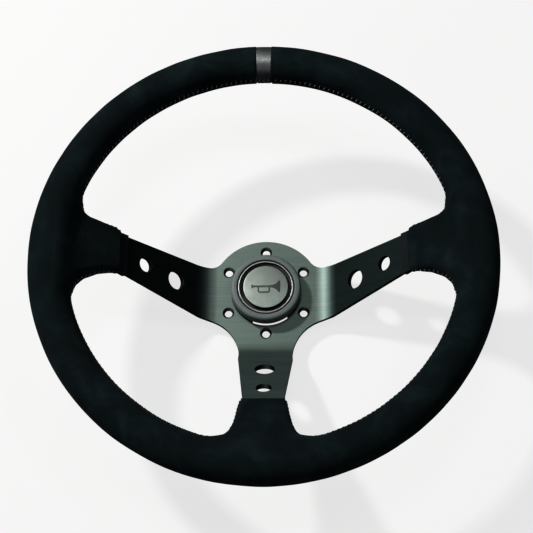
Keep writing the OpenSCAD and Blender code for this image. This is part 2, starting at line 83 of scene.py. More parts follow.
# ---------------------------------------------------------------- the padded form as a distance field
def polygon_distance(px, py, pts):
    """Signed distance in a plane to a closed polygon, negative inside."""
    best = np.full(np.broadcast(px, py).shape, 1e12)
    inside = np.zeros(best.shape, bool)
    for (x0, y0), (x1, y1) in zip(pts, pts[1:] + pts[:1]):
        ex, ey = x1 - x0, y1 - y0
        wx, wy = px - x0, py - y0
        t = np.clip((wx * ex + wy * ey) / (ex * ex + ey * ey), 0, 1)
        best = np.minimum(best, (wx - ex * t) ** 2 + (wy - ey * t) ** 2)
        if y0 != y1:
            span = (py >= min(y0, y1)) & (py < max(y0, y1))
            inside ^= span & (px < x0 + (py - y0) / ey * ex)
    best = np.sqrt(best)
    return np.where(inside, -best, best)


def round_max(a, b, r):
    """Where two solids overlap, with the shared edge rounded to radius r."""
    outer = np.hypot(np.maximum(a + r, 0), np.maximum(b + r, 0))
    return np.minimum(np.maximum(a, b) + r, 0) + outer - r


def smooth_min(a, b, k):
    """Both solids together, blended over a width k."""
    h = np.maximum(k - np.abs(a - b), 0) / k
    return np.minimum(a, b) - h * h * k / 4


def front_z(spoke, u):
    """Height of the front face of a spoke's slope, which rises at 45 degrees."""
    return PLATE_T + u - spoke["bend"]


def web_lines(spoke):
    """The web's front and rear lines in side view, as points from the cuff to the rim."""
    u0 = spoke["suede"]
    z0 = front_z(spoke, u0)
    s = PAD / math.sqrt(2)
    t = PLATE_T / math.sqrt(2)
    front = [(u0 - s, z0 + s), (RIM_R - 8.3, DISH + 10.6)]
    rear = [
        (u0 + t + s, z0 - t - s),
        (u0 + 9, front_z(spoke, u0 + 3) - 5.2),
        (RIM_R - 7.5, DISH - 9),
    ]
    return front, rear


def web_plan(spoke):
    """Outline of a web from the front, run on past the cuff, where its end is cut."""
    u0, past = spoke["suede"], 14
    top = [(u0 + u, v) for u, v in spoke["top"]]
    low = [(u0 + u, v) for u, v in spoke["low"]]
    return [(u0 - past, top[0][1])] + top + low[::-1] + [(u0 - past, low[0][1])]


def web_side(spoke):
    """Outline of a web from the side, run on in the same way."""
    front, rear = web_lines(spoke)
    past = 12.0
    return (
        [(front[0][0] - past, front[0][1] - past)]
        + front
        + rear[::-1]
        + [(rear[0][0] - past, rear[0][1] - past)]
    )


for spoke in (SIDE, LOWER):
    spoke["plan"], spoke["profile"] = web_plan(spoke), web_side(spoke)


def web_distance(u, v, z, spoke):
    """Distance to a web, u out along its spoke and v across it."""
    a = polygon_distance(u, v, spoke["plan"])
    b = polygon_distance(u, z, spoke["profile"])
    u0 = spoke["suede"]
    end = -((u - u0) + (z - front_z(spoke, u0))) / math.sqrt(2)
    return round_max(round_max(a, b, WEB_ROUND), end, CUFF_ROUND)


def plain_distance(x, y, z):
    """Distance to the rim with its three webs run into it."""
    torus = np.hypot(np.hypot(x, y) - RIM_R, z - DISH) - GRIP_R
    webs = web_distance(x, y, z, SIDE)
    webs = np.minimum(webs, web_distance(-x, y, z, SIDE))
    webs = np.minimum(webs, web_distance(-y, x, z, LOWER))
    return smooth_min(torus, webs, WEB_BLEND)


def padded_distance(x, y, z):
    """Distance to the suede's surface."""
    return plain_distance(x, y, z) + hand_made(x, y, z)


def hand_made(x, y, z):
    """Slight unevenness of hand-stretched suede over foam."""
    return 0.07 * (
        np.sin(x * 0.131 + 1.1) * np.sin(y * 0.117 + 0.4)
        + np.sin(x * 0.071 - y * 0.093 + z * 0.21)
        + 0.6 * np.sin(x * 0.23 + y * 0.19 - z * 0.31 + 2.0)
    )


def gradient(p, e=0.05):
    """Slope of the distance, by central differences of e."""
    g = np.empty_like(p)
    for k in range(3):
        step = np.zeros(3)
        step[k] = e
        g[:, k] = (padded_distance(*(p + step).T) - padded_distance(*(p - step).T)) / (2 * e)
    return g


def settle(p, rounds=3):
    """Moves points on to the suede's surface; gives the points and the outward normals."""
    for _ in range(rounds):
        g = gradient(p)
        p = p - g * (padded_distance(*p.T) / np.maximum((g * g).sum(1), 1e-6))[:, None]
    n = gradient(p)
    return p, n / np.linalg.norm(n, axis=1)[:, None]


def surface_net(h):
    """Quads over the whole padded form, from a grid of step h."""
    xs = np.arange(-178.0, 178.1, h)
    zs = np.arange(52.0, 108.1, h)
    f = plain_distance(xs[:, None, None], xs[None, :, None], zs[None, None, :])
    shape = np.array(f.shape)
    crossings = []
    flat_sum = np.zeros((int(np.prod(shape)), 3))
    flat_count = np.zeros(int(np.prod(shape)))
    strides = np.array([shape[1] * shape[2], shape[2], 1])
    for axis in range(3):
        a = f[tuple(slice(0, -1) if k == axis else slice(None) for k in range(3))]
        b = f[tuple(slice(1, None) if k == axis else slice(None) for k in range(3))]
        i = np.argwhere((a < 0) != (b < 0))
        va, vb = a[tuple(i.T)], b[tuple(i.T)]
        at = i.astype(float)
        at[:, axis] += va / (va - vb)
        one, two = (axis + 1) % 3, (axis + 2) % 3
        cells = []
        for d1, d2 in ((0, 0), (1, 0), (1, 1), (0, 1)):
            c = i.copy()
            c[:, one] -= d1
            c[:, two] -= d2
            flat = c @ strides
            np.add.at(flat_sum, flat, at)
            np.add.at(flat_count, flat, 1)
            cells.append(flat)
        crossings.append((np.array(cells).T, va < 0))
    used = np.flatnonzero(flat_count)
    number = np.full(len(flat_count), -1)
    number[used] = np.arange(len(used))
    points = flat_sum[used] / flat_count[used][:, None] * h + [xs[0], xs[0], zs[0]]
    quads = []
    for cells, out in crossings:
        q = number[cells]
        q[~out] = q[~out][:, ::-1]
        quads.append(q)
    return points, np.concatenate(quads)


def relax(points, quads, rounds):
    """Evens the quads out, keeping every point on the surface."""
    pull = 0.6  # towards the mean of a point's neighbours, in each round
    edges = np.concatenate([quads[:, [0, 1]], quads[:, [1, 2]], quads[:, [2, 3]], quads[:, [3, 0]]])
    edges = np.concatenate([edges, edges[:, ::-1]])
    weight = np.bincount(edges[:, 0], minlength=len(points)).astype(float)
    for _ in range(rounds):
        mean = np.stack(
            [np.bincount(edges[:, 0], points[edges[:, 1], k], len(points)) for k in range(3)], 1
        )
        points = settle(points * (1 - pull) + pull * mean / weight[:, None], 1)[0]
    return points


# ---------------------------------------------------------------- seam paths
def mid_height(spoke, u):
    """Half way between a web's front and rear lines, where its seam runs."""
    front, rear = web_lines(spoke)
    zf = np.interp(u, [p[0] for p in front], [p[1] for p in front])
    zr = np.interp(u, [p[0] for p in rear], [p[1] for p in rear])
    return (zf + zr) / 2


def edge_points(spoke, edge):
    """Points down the edge of a web as (u, v, z), from the cuff to the rim."""
    u0 = spoke["suede"]
    pts = [(u0 + u + (1.2 if u == 0 else 0), v) for u, v in edge[:-1]]
    return [(u, v, float(mid_height(spoke, u))) for u, v in pts]


def rim_points(a0, a1):
    """Points of the seam inside the rim, between two angles in degrees from X."""
    r = RIM_R - GRIP_R * math.cos(SEAM_LEAN)
    z = DISH + GRIP_R * math.sin(SEAM_LEAN)
    n = max(2, int(abs(a1 - a0) / 2))
    angles = [math.radians(a0 + (a1 - a0) * i / n) for i in range(n + 1)]
    return [(r * math.cos(a), r * math.sin(a), z) for a in angles]


def resample(p, step):
    """A line's points spaced evenly, about step apart."""
    d = np.r_[0, np.cumsum(np.linalg.norm(np.diff(p, axis=0), axis=1))]
    n = max(2, int(round(d[-1] / step)))
    s = np.linspace(0, d[-1], n + 1)
    return np.stack([np.interp(s, d, p[:, k]) for k in range(3)], 1)


def smoothed(p, sigma):
    """Gaussian smoothing along a line of evenly spaced points, ends held."""
    half = int(3 * sigma)
    w = np.exp(-0.5 * (np.arange(-half, half + 1) / sigma) ** 2)
    w /= w.sum()
    padded = np.concatenate(
        [2 * p[0] - p[half:0:-1], p, 2 * p[-1] - p[-2 : -half - 2 : -1]]
    )
    return np.stack([np.convolve(padded[:, k], w, "valid") for k in range(3)], 1)


def seam_path(points, step=0.55):
    """A line on the suede's surface, smoothed from points near it."""
    p = resample(np.array(points, float), 0.5)
    p = smoothed(p, 6)
    p = settle(p, 4)[0]
    p = smoothed(resample(p, 0.5), 4)
    p = settle(p, 4)[0]
    return settle(resample(p, step), 3)[0]


def window_seams():
    """The seam round each of the three openings between rim and spokes."""
    top = edge_points(SIDE, SIDE["top"])
    low = edge_points(SIDE, SIDE["low"])
    foot = edge_points(LOWER, LOWER["top"])
    upper_right = top + rim_points(20, 90)
    upper = upper_right + [(-x, y, z) for x, y, z in upper_right[::-1]][1:]
    right = low + rim_points(-15, -74) + [(v, -u, z) for u, v, z in foot[::-1]]
    left = [(-x, y, z) for x, y, z in right]
    return {"upper": seam_path(upper), "lower_right": seam_path(right), "lower_left": seam_path(left)}


# ---------------------------------------------------------------- meshes
def shade_smooth(mesh):
    mesh.polygons.foreach_set("use_smooth", [True] * len(mesh.polygons))


def new_object(name, points, faces):
    """points in millimetres."""
    mesh = bpy.data.meshes.new(name)
    mesh.from_pydata((np.asarray(points, float) * MM).tolist(), [], [list(map(int, f)) for f in faces])
    mesh.validate()
    mesh.update()
    shade_smooth(mesh)
    o = bpy.data.objects.new(name, mesh)
    bpy.context.scene.collection.objects.link(o)
    return o


def grid_faces(rows, cols, wrap=False, offset=0):
    """Quads over rows of points, each row closed on itself if wrap."""
    i, j = np.meshgrid(np.arange(rows - 1), np.arange(cols if wrap else cols - 1), indexing="ij")
    k = (j + 1) % cols
    q = np.stack([i * cols + j, i * cols + k, (i + 1) * cols + k, (i + 1) * cols + j], -1)
    return q.reshape(-1, 4) + offset


def tube(path, normals, radii, sides):
    """Points of a round tube along a path; normals say which way is out of the surface."""
    t = np.gradient(path, axis=0)
    t /= np.linalg.norm(t, axis=1)[:, None]
    b = np.cross(t, normals)
    b /= np.linalg.norm(b, axis=1)[:, None]
    n = np.cross(b, t)
    a = np.arange(sides) * 2 * math.pi / sides
    ring = n[:, None] * np.cos(a)[None, :, None] + b[:, None] * np.sin(a)[None, :, None]
    return (path[:, None] + ring * np.asarray(radii)[:, None, None]).reshape(-1, 3)


# ---------------------------------------------------------------- materials
def material(name, color, roughness, metallic=0.0, **sockets):
    """A material; a socket's name is given with underscores for spaces."""
    m = bpy.data.materials.new(name)
    m.use_nodes = True
    b = m.node_tree.nodes["Principled BSDF"]
    b.inputs["Base Color"].default_value = (*color, 1)
    b.inputs["Roughness"].default_value = roughness
    b.inputs["Metallic"].default_value = metallic
    for key, value in sockets.items():
        b.inputs[key.replace("_", " ")].default_value = value
    return m


class Graph:
    """Short forms for wiring a material's nodes."""

    def __init__(self, m):
        self.tree = m.node_tree
        self.bsdf = self.tree.nodes["Principled BSDF"]
        here = self.tree.nodes.new("ShaderNodeTexCoord")
        self.coords, self.normals = here.outputs["Object"], here.outputs["Normal"]

    def link(self, a, b):
        self.tree.links.new(a, b)

    def scaled(self, scale):
        n = self.tree.nodes.new("ShaderNodeMapping")
        n.inputs["Scale"].default_value = scale
        self.link(self.coords, n.inputs["Vector"])
        return n.outputs["Vector"]

    def noise(self, scale, detail=2.0, rough=0.5, vector=None, distortion=0.0):
        n = self.tree.nodes.new("ShaderNodeTexNoise")
        n.inputs["Scale"].default_value = scale
        n.inputs["Detail"].default_value = detail
        n.inputs["Roughness"].default_value = rough
        n.inputs["Distortion"].default_value = distortion
        self.link(vector or self.coords, n.inputs["Vector"])
        return n.outputs["Fac"]

    def cells(self, scale):
        n = self.tree.nodes.new("ShaderNodeTexVoronoi")
        n.inputs["Scale"].default_value = scale
        self.link(self.coords, n.inputs["Vector"])
        return n.outputs["Distance"]

    def spread(self, value, low, high, to_low, to_high):
        n = self.tree.nodes.new("ShaderNodeMapRange")
        for key, v in zip(("From Min", "From Max", "To Min", "To Max"), (low, high, to_low, to_high)):
            n.inputs[key].default_value = v
        self.link(value, n.inputs["Value"])
        return n.outputs["Result"]

    def math(self, op, a, b):
        n = self.tree.nodes.new("ShaderNodeMath")
        n.operation = op
        for k, v in enumerate((a, b)):
            if isinstance(v, (int, float)):
                n.inputs[k].default_value = v
            else:
                self.link(v, n.inputs[k])
        return n.outputs["Value"]

    def ramp(self, value, stops):
        n = self.tree.nodes.new("ShaderNodeValToRGB")
        ramp = n.color_ramp
        while len(ramp.elements) < len(stops):
            ramp.elements.new(0.5)
        for e, (at, color) in zip(ramp.elements, stops):
            e.position = at
            e.color = (*color, 1)
        self.link(value, n.inputs["Fac"])
        return n.outputs["Color"]

    def tinted(self, color, tint):
        n = self.tree.nodes.new("ShaderNodeMix")
        n.data_type, n.blend_type = "RGBA", "MULTIPLY"
        n.inputs["Factor"].default_value = 1.0
        self.link(color, n.inputs["A"])
        self.link(tint, n.inputs["B"])
        return n.outputs["Result"]

    def bump(self, height, strength, distance, under=None):
        n = self.tree.nodes.new("ShaderNodeBump")
        n.inputs["Strength"].default_value = strength
        n.inputs["Distance"].default_value = distance
        self.link(height, n.inputs["Height"])
        if under is not None:
            self.link(under, n.inputs["Normal"])
        return n.outputs["Normal"]

    def set(self, key, value):
        self.link(value, self.bsdf.inputs[key])


def suede():
    m = material(
        "suede", (0.006, 0.010, 0.012), 0.95,
        Specular_IOR_Level=0.06, Sheen_Weight=0.01, Sheen_Roughness=0.4,
    )
    m.node_tree.nodes["Principled BSDF"].inputs["Sheen Tint"].default_value = (0.62, 0.82, 0.9, 1)
    g = Graph(m)
    hand = g.noise(42, 3, 0.6, distortion=0.6)
    nap = g.noise(1500, 3, 0.65)
    tone = g.math("ADD", g.math("MULTIPLY", hand, 0.75), g.math("MULTIPLY", nap, 0.5))
    low, middle, high = (0.0007, 0.0018, 0.0021), (0.0027, 0.0058, 0.0067), (0.0068, 0.0122, 0.0136)
    g.set("Base Color", g.ramp(tone, [(0.36, low), (0.62, middle), (0.84, high)]))
    g.set("Roughness", g.spread(hand, 0.3, 0.7, 0.86, 1.0))
    g.set("Normal", g.bump(nap, 0.45, 0.00025, g.bump(hand, 0.12, 0.001)))
    return m


def leather():
    m = material(
        "grey_leather", (0.016, 0.022, 0.023), 0.34,
        Specular_IOR_Level=0.8, Coat_Weight=1.0, Coat_Roughness=0.48, Coat_IOR=1.6,
    )
    g = Graph(m)
    grain = g.cells(1150)
    wear = g.noise(160, 4, 0.6)
    g.set("Base Color", g.ramp(wear, [(0.3, (0.004, 0.007, 0.008)), (0.7, (0.013, 0.019, 0.020))]))
    g.set("Roughness", g.spread(wear, 0.3, 0.7, 0.36, 0.46))
    g.set("Normal", g.bump(grain, 0.25, 0.0002, g.bump(wear, 0.15, 0.0006)))
    return m


def thread():
    m = material("seam_thread", (0.09, 0.10, 0.105), 0.6, Sheen_Weight=0.1)
    g = Graph(m)
    ply = g.noise(2600, 2, 0.5)
    g.set("Base Color", g.ramp(ply, [(0.3, (0.055, 0.065, 0.068)), (0.7, (0.12, 0.135, 0.138))]))
    g.set("Normal", g.bump(ply, 0.5, 0.0002))
    return m


def brushed(name, dark, light, rough):
    """Satin metal with fine brush lines along X; its colour is darkened by painted shade where the surface
    tilts: on the slopes, in the bends and on the hole walls.
    """
    m = material(name, light, 0.6, 1.0, Anisotropic=0.5)
    g = Graph(m)
    fine = g.noise(1.0, 5, 0.8, g.scaled((9, 1900, 9)))
    broad = g.noise(1.0, 3, 0.6, g.scaled((5, 190, 5)))
    smudge = g.noise(24, 3, 0.6)
    blotches = g.math("ADD", g.math("MULTIPLY", broad, 0.12), g.math("MULTIPLY", smudge, 0.14))
    tone = g.math("ADD", g.math("MULTIPLY", fine, 0.78), blotches)
    tilt = g.tree.nodes.new("ShaderNodeSeparateXYZ")
    g.link(g.normals, tilt.inputs["Vector"])
    aside = g.math("ABSOLUTE", tilt.outputs["X"], 0)
    ahead = g.math("MULTIPLY", g.math("ABSOLUTE", tilt.outputs["Y"], 0), 0.64)
    # painted shade: the base colour darkens with the surface's tilt, on the slopes, in the bends and on the
    # hole walls
    slope_shade_stops = [
        (0.02, (1, 1, 1)), (0.24, (0.96, 0.97, 0.97)), (0.4, (0.58, 0.62, 0.64)),
        (0.7, (0.28, 0.34, 0.36)), (0.95, (0.1, 0.1, 0.1)),
    ]
    painted_slope_shade = g.ramp(g.math("MAXIMUM", aside, ahead), slope_shade_stops)
    g.set("Base Color", g.tinted(g.ramp(tone, [(0.36, dark), (0.68, light)]), painted_slope_shade))
    wear = g.math("ADD", g.math("MULTIPLY", fine, 0.6), g.math("MULTIPLY", smudge, 0.4))
    g.set("Roughness", g.spread(wear, 0.3, 0.7, *rough))
    g.set("Normal", g.bump(fine, 0.10, 0.0001))
    along = g.tree.nodes.new("ShaderNodeCombineXYZ")
    along.inputs["Y"].default_value = 1.0
    g.set("Tangent", along.outputs["Vector"])
    return m


def moulded(name, color, roughness, grain=1400, strength=0.12, **sockets):
    m = material(name, color, roughness, **sockets)
    g = Graph(m)
    fine = g.noise(grain, 3, 0.6)
    broad = g.noise(70, 3, 0.6)
    darker = tuple(c * 0.72 for c in color)
    g.set("Base Color", g.ramp(broad, [(0.3, darker), (0.7, color)]))
    g.set("Roughness", g.spread(broad, 0.3, 0.7, max(roughness - 0.05, 0.04), roughness + 0.06))
    g.set("Normal", g.bump(fine, strength, 0.00012))
    return m


def metal(name, dark, light, roughness, grain=900):
    m = material(name, light, roughness, 1.0)
    g = Graph(m)
    fine = g.noise(grain, 4, 0.6)
    broad = g.noise(60, 3, 0.6)
    g.set("Base Color", g.ramp(broad, [(0.3, dark), (0.7, light)]))
    g.set("Roughness", g.spread(fine, 0.3, 0.7, roughness - 0.06, roughness + 0.08))
    g.set("Normal", g.bump(fine, 0.1, 0.0001))
    return m


SUEDE, LEATHER, THREAD = suede(), leather(), thread()
PLATE = brushed("anodised_plate", (0.080, 0.104, 0.096), (0.143, 0.173, 0.160), (0.54, 0.64))
DISC = metal("satin_disc", (0.110, 0.121, 0.114), (0.138, 0.151, 0.142), 0.44, 1500)
SIGN = metal("sign_dark", (0.03, 0.036, 0.034), (0.045, 0.053, 0.05), 0.46, 1500)
BEZEL = moulded("bezel_grey", (0.070, 0.085, 0.084), 0.58, 1800, 0.08, Specular_IOR_Level=0.3)
TRIM = moulded("trim_black", (0.0042, 0.0064, 0.0074), 0.58, Specular_IOR_Level=0.12)
GLOSS = moulded(
    "gloss_rubber", (0.006, 0.008, 0.008), 0.46, 60, 0.0,
    Specular_IOR_Level=1.0, Coat_Weight=1.0, Coat_Roughness=0.42, Coat_IOR=1.9,
)
HOUSING = moulded("housing_plastic", (0.005, 0.006, 0.006), 0.5, Specular_IOR_Level=0.25)
INSULATOR = moulded("insulator", (0.16, 0.07, 0.035), 0.5, 700)
ALLOY = metal("core_alloy", (0.5, 0.51, 0.52), (0.66, 0.67, 0.68), 0.38)
RIVET = metal("rivet_alloy", (0.55, 0.56, 0.57), (0.72, 0.73, 0.74), 0.32)
BRASS = metal("contact_brass", (0.56, 0.38, 0.15), (0.76, 0.56, 0.27), 0.28)
CLIP = metal("clip_steel", (0.03, 0.03, 0.032), (0.06, 0.06, 0.062), 0.34)
STEEL = metal("screw_steel", (0.42, 0.42, 0.42), (0.6, 0.6, 0.6), 0.3)
SPRING = metal("spring_steel", (0.4, 0.4, 0.41), (0.6, 0.6, 0.61), 0.26)

# the nodes that show as they are in the CAD
FINISH = {
    "rim_core": ALLOY, "spoke_rivets": RIVET,
    "spoke_cuff_left": TRIM, "spoke_cuff_right": TRIM, "spoke_cuff_lower": TRIM,
    "horn_housing": HOUSING, "horn_plunger": HOUSING,
    "moving_contact": BRASS, "contact_rivets": BRASS,
    "fixed_contact_left": BRASS, "fixed_contact_right": BRASS, "contact_base": INSULATOR,
    "base_screws": STEEL, "retaining_clips": CLIP, "clip_screws": STEEL,
}
for name, finish in FINISH.items():
    for s in NODES[name].material_slots:
        s.material = finish


def dressed(o, finish, body, nodes=()):
    """Gives a piece its material and body, and hides the CAD nodes it stands for."""
    o.data.materials.clear()
    o.data.materials.append(finish)
    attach(o, body)
    if nodes:
        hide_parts(*nodes)
    return o


# ---------------------------------------------------------------- suede cover
DIP, DIP_REACH = 1.1, 2.1  # how deep and how far from a seam the cover dips under its strip
TUCK = ((0.28, 0.10), (0.44, 0.38), (0.5, 0.8), (0.5, 1.5))  # the turned edge: along and inwards


def suede_cover(paths):
    points, quads = surface_net(1.6)
    points = relax(points, quads, 4)
    points, normals = settle(points, 2)
    # the cover dips under each seam, where the sewn strip lies over it
    for path in paths.values():
        thin = path[::4]
        for start in range(0, len(points), 4000):
            part = points[start : start + 4000]
            near = np.sqrt(((part[:, None] - thin[None]) ** 2).sum(2).min(1))
            dip = DIP * np.exp(-((near / DIP_REACH) ** 4))
            points[start : start + 4000] -= normals[start : start + 4000] * dip[:, None]
    o = new_object("suede_cover", points, quads)
    bm = bmesh.new()
    bm.from_mesh(o.data)

    def near_marker(reach):
        middles = ((f, f.calc_center_median()) for f in bm.faces)
        return [f for f, at in middles if at.y > 0.1 and abs(at.x) < reach]

    # opening at twelve o'clock for the marker band, with its edges turned under
    half = (MARK_HALF + 0.65) * MM
    for side in (-1, 1):
        geom = near_marker(0.02)
        edges = dict.fromkeys(e for f in geom for e in f.edges)
        verts = dict.fromkeys(v for f in geom for v in f.verts)
        bmesh.ops.bisect_plane(
            bm, geom=[*geom, *edges, *verts], plane_co=(side * half, 0, 0), plane_no=(side, 0, 0)
        )
    bmesh.ops.delete(bm, geom=near_marker(half - 1e-6), context="FACES")
    rim = [e for e in bm.edges if e.is_boundary]
    for shift, sink in TUCK:
        made = bmesh.ops.extrude_edge_only(bm, edges=rim)["geom"]
        for v in (g for g in made if isinstance(g, bmesh.types.BMVert)):
            side = 1 if v.co.x > 0 else -1
            line = Vector((0, RIM_R * MM, DISH * MM))
            out = Vector((0, v.co.y - line.y, v.co.z - line.z)).normalized()
            target = (GRIP_R - sink) * MM
            v.co.x = side * (half - shift * MM)
            v.co.y = line.y + out.y * target
            v.co.z = line.z + out.z * target
        rim = [g for g in made if isinstance(g, bmesh.types.BMEdge) and g.is_boundary]
    bmesh.ops.recalc_face_normals(bm, faces=bm.faces)
    bm.to_mesh(o.data)
    bm.free()
    shade_smooth(o.data)
    return o


SEWN_REACH = 4.6  # from the seam to where its strip has gone under the cover


def lip_height(t, s):
    """Height of the sewn edges over the cover at t across the seam and s along it."""
    beat = 0.5 + 0.5 * np.cos(2 * math.pi * s / PITCH)
    lips = (0.62 - 0.55 * beat) * np.exp(-((np.abs(t) - 1.25) / 0.85) ** 2)
    groove = -0.55 * np.exp(-((t / 0.5) ** 2))
    fade = np.clip((SEWN_REACH - np.abs(t)) / 1.6, 0, 1)
    fade = fade * fade * (3 - 2 * fade)
    return (0.05 + lips + groove) * fade - 0.06 * (1 - fade)


STITCH = np.linspace(-1, 1, 9)  # from one end of a stitch to the other
STITCH_HALF = 1.75  # half its reach across the seam
STITCH_LIFT = 0.42 - 0.95 * np.abs(STITCH) ** 5  # bowed, with its ends in the suede
THREAD_R = 0.32 * np.sqrt(np.clip(1 - np.abs(STITCH) ** 6, 0.03, 1))
THREAD_SIDES = 8


def thread_mesh(stitches):
    """Points and faces of stitches, each given as its points and normals."""
    rows = len(STITCH)
    starts = range(0, len(stitches) * rows * THREAD_SIDES, rows * THREAD_SIDES)
    faces = [grid_faces(rows, THREAD_SIDES, wrap=True, offset=k) for k in starts]
    return np.concatenate([tube(p, n, THREAD_R, THREAD_SIDES) for p, n in stitches]), np.concatenate(faces)


class Seam:
    """A sewn strip along a path on the cover: points, normals and height over a grid."""

    def __init__(self, path, step=0.5, half=4.5):
        self.path = path
        along = np.gradient(path, axis=0)
        along /= np.linalg.norm(along, axis=1)[:, None]
        _, n0 = settle(path, 1)
        b0 = np.cross(n0, along)
        b0 /= np.linalg.norm(b0, axis=1)[:, None]
        count = int(round(half / step))
        columns = {0: (path, n0)}
        for sign in (-1, 1):
            q, heading = path, b0 * sign
            for k in range(1, count + 1):
                q, n = settle(q + heading * step, 2)
                heading = heading - n * (heading * n).sum(1)[:, None]
                heading /= np.linalg.norm(heading, axis=1)[:, None]
                columns[sign * k] = (q, n)
        keys = sorted(columns)
        self.t = np.array(keys) * step
        self.p = np.stack([columns[k][0] for k in keys], 1)
        self.n = np.stack([columns[k][1] for k in keys], 1)
        self.s = np.r_[0, np.cumsum(np.linalg.norm(np.diff(path, axis=0), axis=1))]
        self.h = lip_height(self.t[None, :], self.s[:, None])

    def strip(self, keep):
        """Points and faces of the strip's rows that keep says stay."""
        rows = np.flatnonzero(keep(self.path))
        top = self.p + self.n * self.h[:, :, None]
        cols = len(self.t)
        faces = []
        for run in np.split(rows, np.flatnonzero(np.diff(rows) > 1) + 1):
            faces.append(grid_faces(len(run), cols, offset=run[0] * cols))
        faces = np.concatenate(faces)
        used, back = np.unique(faces, return_inverse=True)
        return top.reshape(-1, 3)[used], back.reshape(faces.shape)

    def at(self, s, t, lift):
        """Points over the strip at distances s along and t across."""
        i = np.clip(np.interp(s, self.s, np.arange(len(self.s))), 0, len(self.s) - 1.001)
        j = np.clip((t - self.t[0]) / (self.t[1] - self.t[0]), 0, len(self.t) - 1.001)
        i0, j0 = i.astype(int), j.astype(int)
        fi, fj = (i - i0)[:, None], (j - j0)[:, None]

        def mix(a):
            return (
                a[i0, j0] * (1 - fi) * (1 - fj)
                + a[i0 + 1, j0] * fi * (1 - fj)
                + a[i0, j0 + 1] * (1 - fi) * fj
                + a[i0 + 1, j0 + 1] * fi * fj
            )

        n = mix(self.n)
        n /= np.linalg.norm(n, axis=1)[:, None]
        return mix(self.p) + n * lift[:, None], n

    def stitches(self, keep):
        """One slanting stitch a pitch, where keep says its middle stays."""
        every = range(1, int(self.s[-1] / PITCH))
        made = [self.at(k * PITCH + 0.55 * STITCH, STITCH_HALF * STITCH, STITCH_LIFT) for k in every]
        middle = len(STITCH) // 2
        return thread_mesh([(p, n) for p, n in made if keep(p)[middle]])


paths = window_seams()
cover = dressed(
    suede_cover(paths), SUEDE, "wheel",
    (
        "rim_cover", "web_wrap_left", "web_wrap_right", "web_wrap_lower",
        "web_facing_left", "web_facing_right", "web_facing_lower", "rim_foam",
    ),
)


def off_marker(p):
    """Which points lie clear of the marker band."""
    return (np.abs(p[:, 0]) > MARK_HALF + 0.2) | (p[:, 1] < 0)


for side, path in paths.items():
    seam = Seam(path)
    dressed(new_object(f"seam_strip_{side}", *seam.strip(off_marker)), SUEDE, "wheel")
    threads = new_object(f"seam_stitches_{side}", *seam.stitches(off_marker))
    dressed(threads, THREAD, "wheel", (f"seam_thread_{side}",))


# ---------------------------------------------------------------- marker band
BAND_R, BAND_EDGE_R = 14.1, 13.6  # radius of its section, and of its edges under the suede
BAND_THREAD_R = 14.25  # radius its stitches lie at


def on_rim(theta, a, r):
    """Points at r from the rim's centre line, theta from twelve o'clock and a round its section."""
    line = RIM_R + r * np.cos(a)
    return np.stack([line * np.sin(theta), line * np.cos(theta), DISH + r * np.sin(a)], -1)


def marker_band():
    """A closed leather band, its two edges sunk under the suede."""
    across = np.r_[-1.14, -1.001, -1.0, np.linspace(-0.99, 0.99, 25), 1.0, 1.001, 1.14]
    sides = 216
    around = np.arange(sides) * 2 * math.pi / sides
    edge = np.clip((1 - np.abs(across)) / 0.16, 0, 1)
    radius = np.where(np.abs(across) > 1, BAND_EDGE_R, BAND_R + 0.06 * (1 - across**2))
    x = across * (MARK_HALF - 0.05)
    t = -(((around - (math.pi - SEAM_LEAN) + math.pi) % (2 * math.pi)) - math.pi) * GRIP_R
    sewn = lip_height(t[None, :], x[:, None] + PITCH / 2) * edge[:, None]
    r = radius[:, None] + np.where(np.abs(t)[None, :] < SEWN_REACH, 0.9 * sewn, 0)
    p = on_rim(x[:, None] / RIM_R, around[None, :], r)
    faces = grid_faces(len(across), sides, wrap=True)[:, ::-1]
    return new_object("marker_leather", p.reshape(-1, 3), faces)


dressed(marker_band(), LEATHER, "wheel", ("marker_band",))


def marker_stitches():
    made = []
    a = math.pi - SEAM_LEAN + STITCH_HALF * STITCH / GRIP_R
    for k in (-1, 0, 1):
        theta = (k * PITCH + 0.5 * STITCH) / RIM_R
        normals = np.stack([np.cos(a) * np.sin(theta), np.cos(a) * np.cos(theta), np.sin(a)], 1)
        made.append((on_rim(theta, a, BAND_THREAD_R + STITCH_LIFT), normals))
    return new_object("marker_stitches", *thread_mesh(made))


dressed(marker_stitches(), THREAD, "wheel")


# ---------------------------------------------------------------- spoke plate with softened edges
CAD_BEND_R = 10.0
BENDS = (  # direction out along the spoke, distance of the bend and its eased radius
    ((1, 0, 0), SIDE["bend"], 24.0),
    ((-1, 0, 0), SIDE["bend"], 24.0),
    ((0, -1, 0), LOWER["bend"], 20.0),
)
BEND_ANGLE = math.radians(45)


def bend_run(r):
    """From a bend's corner to where its curve of radius r starts."""
    return r * math.tan(BEND_ANGLE / 2)


def bend_rise(u, bend, r):
    """Height over the flat hub, u out along a spoke, of a 45 degree bend of radius r."""
    start = bend - bend_run(r)
    if u <= start:
        return 0.0
    if u < start + r * math.sin(BEND_ANGLE):
        return r - math.sqrt(r * r - (u - start) ** 2)
    return u - bend


def ease_bends(bm):
    """Opens the plate's three bends out to a wider radius."""
    for way, bend, r in BENDS:
        way = Vector(way)
        start, end = bend - bend_run(r), bend + bend_run(r) / math.sqrt(2)
        for u in np.linspace(start, end, 13):
            geom = [*bm.verts, *bm.edges, *bm.faces]
            bmesh.ops.bisect_plane(bm, geom=geom, dist=1e-6, plane_co=way * (u * MM), plane_no=way)
        for v in bm.verts:
            u = v.co.dot(way) / MM
            v.co.z += (bend_rise(u, bend, r) - bend_rise(u, bend, CAD_BEND_R)) * MM


